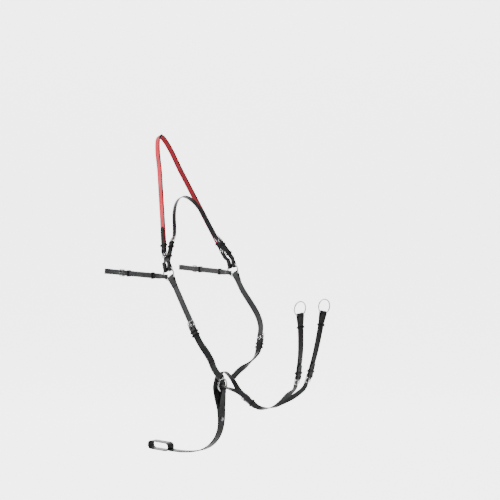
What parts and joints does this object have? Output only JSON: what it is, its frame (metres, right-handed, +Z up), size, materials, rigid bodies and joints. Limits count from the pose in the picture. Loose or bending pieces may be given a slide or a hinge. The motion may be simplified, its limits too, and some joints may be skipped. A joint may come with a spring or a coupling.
{
  "type": "hunting breastplate with running martingale",
  "caption": "Horse breastplate: neck strap, grab strap, saddle and chest straps between rings, a strap to the girth and a forked martingale with rein rings.",
  "frame": {"origin": "the spot on the crest of the horse's neck where the neck strap rests, at the strap's middle", "axes": "+X the horse's forward, +Y the horse's left, +Z up, in the shape it has when worn"},
  "size_m": [0.6758, 0.3464, 0.9857],
  "materials": {
    "black_leather": "satin, fine grain",
    "red_leather": "satin, padded, black lining",
    "silver_metal": "polished"
  },
  "bodies": {
    "collar": {"neck_strap": "black_leather", "neck_chape_right": "black_leather", "neck_chape_left": "black_leather", "neck_buckle_right": "silver_metal", "neck_buckle_left": "silver_metal", "neck_keepers_right": "black_leather", "neck_keepers_left": "black_leather"},
    "ring_right": {"shoulder_ring_right": "silver_metal"},
    "ring_left": {"shoulder_ring_left": "silver_metal"},
    "grab": {"grab_strap": "red_leather", "grab_billet_right": "black_leather", "grab_billet_left": "black_leather", "grab_buckle_right": "silver_metal", "grab_buckle_left": "silver_metal", "grab_keeper_right": "black_leather", "grab_keeper_left": "black_leather"},
    "saddle_right": {"saddle_strap_right": "black_leather", "saddle_buckle_right": "silver_metal", "saddle_keepers_right": "black_leather"},
    "saddle_left": {"saddle_strap_left": "black_leather", "saddle_buckle_left": "silver_metal", "saddle_keepers_left": "black_leather"},
    "breast": {"shoulder_billet_right": "black_leather", "shoulder_billet_left": "black_leather", "shoulder_buckle_right": "silver_metal", "shoulder_buckle_left": "silver_metal", "shoulder_keepers_right": "black_leather", "shoulder_keepers_left": "black_leather", "chest_strap_right": "black_leather", "chest_strap_left": "black_leather"},
    "breast_ring": {"chest_ring": "silver_metal"},
    "girth": {"girth_strap": "black_leather", "girth_stud": "silver_metal"},
    "martingale": {"fork_strap": "black_leather", "attachment_chape": "black_leather", "attachment_buckle": "silver_metal", "attachment_keeper": "black_leather", "fork_buckle_right": "silver_metal", "fork_buckle_left": "silver_metal", "fork_keeper_right": "black_leather", "fork_keeper_left": "black_leather", "rein_strap_right": "black_leather", "rein_strap_left": "black_leather", "rein_keeper_right": "black_leather", "rein_keeper_left": "black_leather"},
    "rein_ring_right": {"rein_ring_right": "silver_metal"},
    "rein_ring_left": {"rein_ring_left": "silver_metal"},
    "neck_tongue_right": {"neck_tongue_right": "silver_metal"},
    "grab_tongue_right": {"grab_tongue_right": "silver_metal"},
    "saddle_tongue_right": {"saddle_tongue_right": "silver_metal"},
    "shoulder_tongue_right": {"shoulder_tongue_right": "silver_metal"},
    "fork_tongue_right": {"fork_tongue_right": "silver_metal"},
    "neck_tongue_left": {"neck_tongue_left": "silver_metal"},
    "grab_tongue_left": {"grab_tongue_left": "silver_metal"},
    "saddle_tongue_left": {"saddle_tongue_left": "silver_metal"},
    "shoulder_tongue_left": {"shoulder_tongue_left": "silver_metal"},
    "fork_tongue_left": {"fork_tongue_left": "silver_metal"},
    "attachment_tongue": {"attachment_tongue": "silver_metal"}
  },
  "joints": [
    {"name": "ring_spin_right", "type": "hinge", "parent": "collar", "child": "ring_right", "pos_m": [0.072, -0.145, -0.227], "axis": [0, 1, 0], "continuous": true},
    {"name": "ring_spin_left", "type": "hinge", "parent": "collar", "child": "ring_left", "pos_m": [0.072, 0.145, -0.227], "axis": [0, 1, 0], "continuous": true},
    {"name": "grab_swing", "type": "hinge", "parent": "collar", "child": "grab", "pos_m": [0.05878, 0, -0.21232], "axis": [0, -1, 0], "range_deg": [0, 12]},
    {"name": "saddle_swing_right", "type": "hinge", "parent": "collar", "child": "saddle_right", "pos_m": [0.05456, -0.145, -0.23627], "axis": [0, -1, 0], "range_deg": [0, 8]},
    {"name": "saddle_swing_left", "type": "hinge", "parent": "collar", "child": "saddle_left", "pos_m": [0.05456, 0.145, -0.23627], "axis": [0, -1, 0], "range_deg": [0, 8]},
    {"name": "breast_swing", "type": "hinge", "parent": "collar", "child": "breast", "pos_m": [0.072, 0, -0.227], "axis": [0, -1, 0], "range_deg": [0, 12]},
    {"name": "breast_ring_spin", "type": "hinge", "parent": "breast", "child": "breast_ring", "pos_m": [0.156, 0, -0.565], "axis": [1, 0, 0], "continuous": true},
    {"name": "girth_swing", "type": "hinge", "parent": "breast", "child": "girth", "pos_m": [0.156, 0, -0.58475], "axis": [0, -1, 0], "range_deg": [0, 25]},
    {"name": "martingale_swing", "type": "hinge", "parent": "breast", "child": "martingale", "pos_m": [0.156, 0, -0.54525], "axis": [0, -1, 0], "range_deg": [-3, 12]},
    {"name": "rein_ring_flop_right", "type": "hinge", "parent": "martingale", "child": "rein_ring_right", "pos_m": [0.492, -0.053, -0.335], "axis": [-0.2226, -0.964, -0.1453], "range_deg": [-50, 50]},
    {"name": "rein_ring_flop_left", "type": "hinge", "parent": "martingale", "child": "rein_ring_left", "pos_m": [0.492, 0.053, -0.335], "axis": [-0.2211, -0.9576, 0.1845], "range_deg": [-50, 50]},
    {"name": "neck_tongue_lift_right", "type": "hinge", "parent": "collar", "child": "neck_tongue_right", "pos_m": [0.05044, -0.107, -0.13655], "axis": [0.938, 0, 0.3465], "range_deg": [0, 30]},
    {"name": "grab_tongue_lift_right", "type": "hinge", "parent": "grab", "child": "grab_tongue_right", "pos_m": [0.03904, -0.12847, -0.16259], "axis": [-0.9294, 0, -0.3691], "range_deg": [0, 30]},
    {"name": "saddle_tongue_lift_right", "type": "hinge", "parent": "saddle_right", "child": "saddle_tongue_right", "pos_m": [-0.09534, -0.16207, -0.22994], "axis": [0.0422, 0, 0.9991], "range_deg": [0, 30]},
    {"name": "shoulder_tongue_lift_right", "type": "hinge", "parent": "breast", "child": "shoulder_tongue_right", "pos_m": [0.17304, -0.1511, -0.37954], "axis": [0.8645, 0, 0.5026], "range_deg": [0, 30]},
    {"name": "fork_tongue_lift_right", "type": "hinge", "parent": "martingale", "child": "fork_tongue_right", "pos_m": [0.46242, -0.02695, -0.51466], "axis": [0, -0.9938, -0.1115], "range_deg": [0, 30]},
    {"name": "neck_tongue_lift_left", "type": "hinge", "parent": "collar", "child": "neck_tongue_left", "pos_m": [0.05044, 0.107, -0.13655], "axis": [-0.938, 0, -0.3465], "range_deg": [0, 30]},
    {"name": "grab_tongue_lift_left", "type": "hinge", "parent": "grab", "child": "grab_tongue_left", "pos_m": [0.03904, 0.12847, -0.16259], "axis": [0.9294, 0, 0.3691], "range_deg": [0, 30]},
    {"name": "saddle_tongue_lift_left", "type": "hinge", "parent": "saddle_left", "child": "saddle_tongue_left", "pos_m": [-0.09534, 0.16207, -0.22994], "axis": [-0.0422, 0, -0.9991], "range_deg": [0, 30]},
    {"name": "shoulder_tongue_lift_left", "type": "hinge", "parent": "breast", "child": "shoulder_tongue_left", "pos_m": [0.1868, 0.13953, -0.4357], "axis": [-0.9943, 0, -0.1069], "range_deg": [0, 30]},
    {"name": "fork_tongue_lift_left", "type": "hinge", "parent": "martingale", "child": "fork_tongue_left", "pos_m": [0.46242, 0.02695, -0.51466], "axis": [0, -0.9938, 0.1115], "range_deg": [0, 30]},
    {"name": "attachment_tongue_lift", "type": "hinge", "parent": "martingale", "child": "attachment_tongue", "pos_m": [0.255, 0, -0.599], "axis": [-0.3154, -0.766, -0.5601], "range_deg": [0, 30]}
  ]
}
